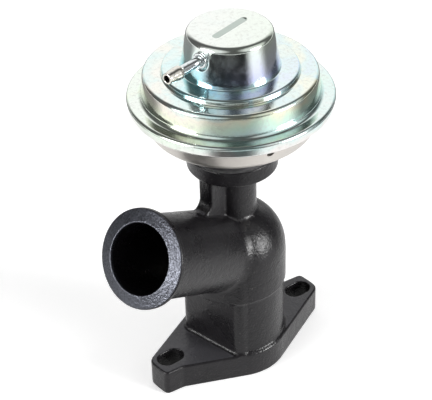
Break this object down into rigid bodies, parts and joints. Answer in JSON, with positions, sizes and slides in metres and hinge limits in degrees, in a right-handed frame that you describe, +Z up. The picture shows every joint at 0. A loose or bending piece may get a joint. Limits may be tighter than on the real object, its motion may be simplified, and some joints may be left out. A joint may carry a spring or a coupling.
{
  "type": "egr valve",
  "caption": "Vacuum-operated exhaust gas recirculation valve: black cast elbow housing with slotted base flange and hose spigot, under a plated diaphragm capsule with a vacuum nipple.",
  "frame": {"origin": "centre of the base flange's bottom face, on the valve axis", "axes": "+Z up the valve axis; the base flange's long axis is Y; the hose spigot leaves towards -Y, turned 12 degrees towards +X, and slopes 27 degrees upwards"},
  "size_m": [0.0762, 0.1009, 0.1476],
  "materials": {
    "black_casting": "satin black paint on a sand casting",
    "seat_steel": "turned steel, heat stained",
    "bush_bronze": "turned bronze",
    "black_rubber": "moulded rubber",
    "pressed_steel": "pressed steel sheet",
    "gasket_fibre": "graphite fibre sheet",
    "cup_plating": "zinc plated, satin",
    "screw_steel": "zinc plated",
    "cover_plating": "bright zinc plated, iridescent passivation",
    "nipple_steel": "bright zinc plated",
    "spring_steel": "drawn spring wire",
    "ground_steel": "ground steel"
  },
  "bodies": {
    "housing": {"valve_housing": "black_casting", "valve_seat": "seat_steel", "guide_bush": "bush_bronze", "stem_seal": "black_rubber", "seal_retainer": "pressed_steel", "neck_gasket": "gasket_fibre", "mounting_plate": "pressed_steel", "lower_cup": "cup_plating", "cup_screws": "screw_steel", "screw_washers": "screw_steel", "upper_cover": "cover_plating", "nipple_collar": "nipple_steel", "vacuum_nipple": "nipple_steel", "spring_top_seat": "pressed_steel", "return_spring": "spring_steel", "diaphragm": "black_rubber"},
    "valve": {"valve_stem": "ground_steel", "valve_head": "ground_steel", "heat_shield": "pressed_steel", "lower_plate": "pressed_steel", "spring_cup": "pressed_steel", "stem_washer": "screw_steel", "stem_nut": "screw_steel"}
  },
  "joints": [
    {"name": "valve_lift", "type": "slide", "parent": "housing", "child": "valve", "axis": [0, 0, 1], "range_m": [0, 0.006], "stiffness_N_per_m": 6000, "springref_m": -0.008, "deforming": ["return_spring", "diaphragm"]}
  ]
}
